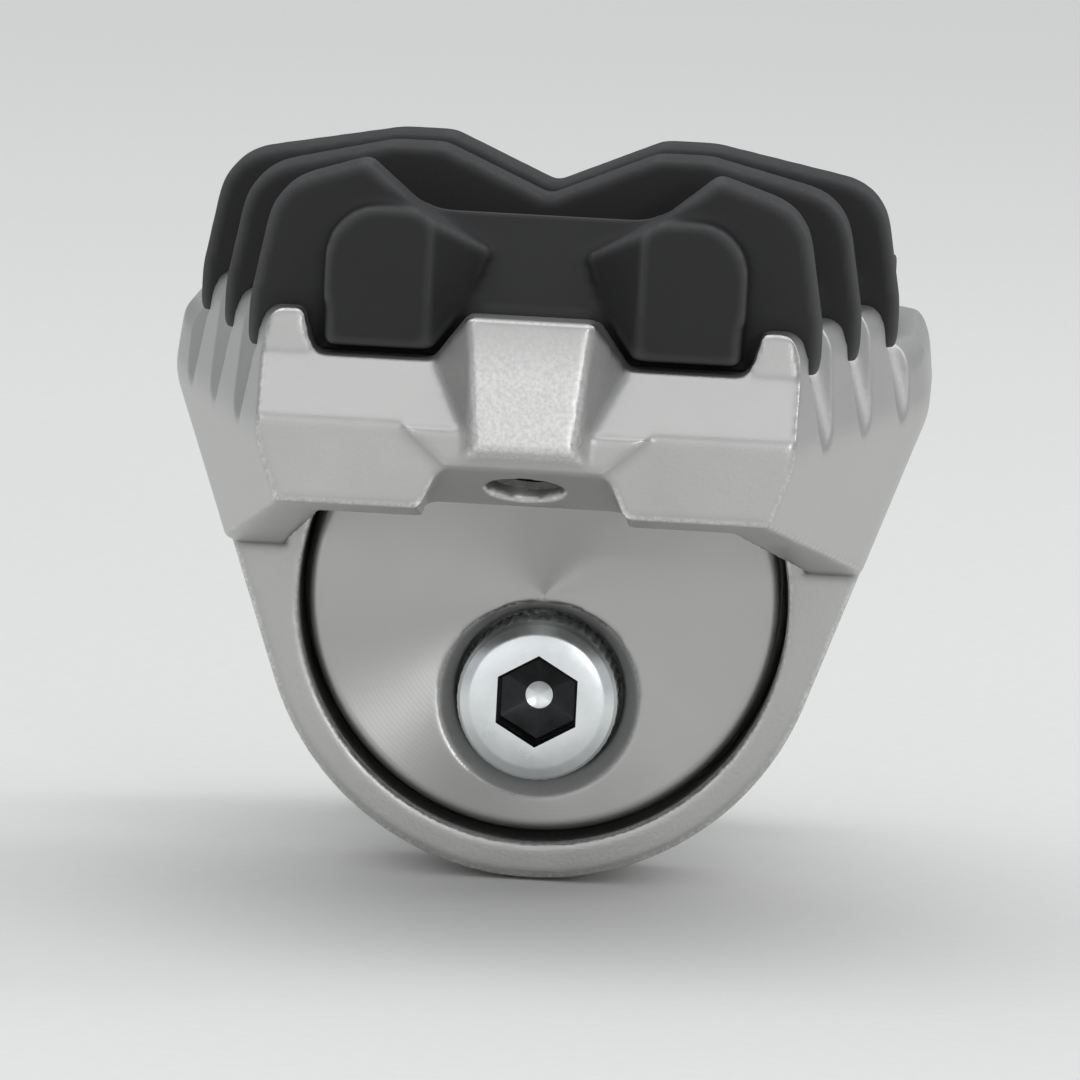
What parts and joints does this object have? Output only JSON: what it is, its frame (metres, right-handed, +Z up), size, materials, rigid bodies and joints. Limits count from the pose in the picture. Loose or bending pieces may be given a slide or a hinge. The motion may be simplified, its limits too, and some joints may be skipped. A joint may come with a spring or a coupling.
{
  "type": "motorcycle footpeg",
  "caption": "Folding motorcycle footpeg: cast steel platform with toothed flanks and a ribbed rubber pad, clamped at a choice of heights to an adapter that turns on a sprung pivot bolt.",
  "frame": {"origin": "centre of the hinge axis, midway between the bracket ears that take the pivot bolt", "axes": "+Z up, -Y outboard along the peg, +X to the front of the motorcycle along the pivot bolt"},
  "size_m": [0.0604, 0.114, 0.0613],
  "materials": {
    "cast_steel": "blasted satin",
    "turned_steel": "turned",
    "screw_steel": "zinc plated",
    "spring_steel": "drawn wire",
    "rubber": "matt"
  },
  "bodies": {
    "pivot": {"pivot_bolt": "screw_steel", "return_spring": "spring_steel"},
    "peg": {"peg_frame": "cast_steel", "rubber_pad": "rubber", "hinge_adapter": "turned_steel", "clamp_disc": "turned_steel", "clamp_screw": "screw_steel"}
  },
  "joints": [
    {"name": "peg_fold", "type": "hinge", "parent": "pivot", "child": "peg", "pos_m": [0, 0, 0], "axis": [-1, 0, 0], "range_deg": [0, 85], "stiffness_Nm_per_rad": 0.15, "springref_deg": -57.3, "deforming": ["return_spring"]}
  ]
}
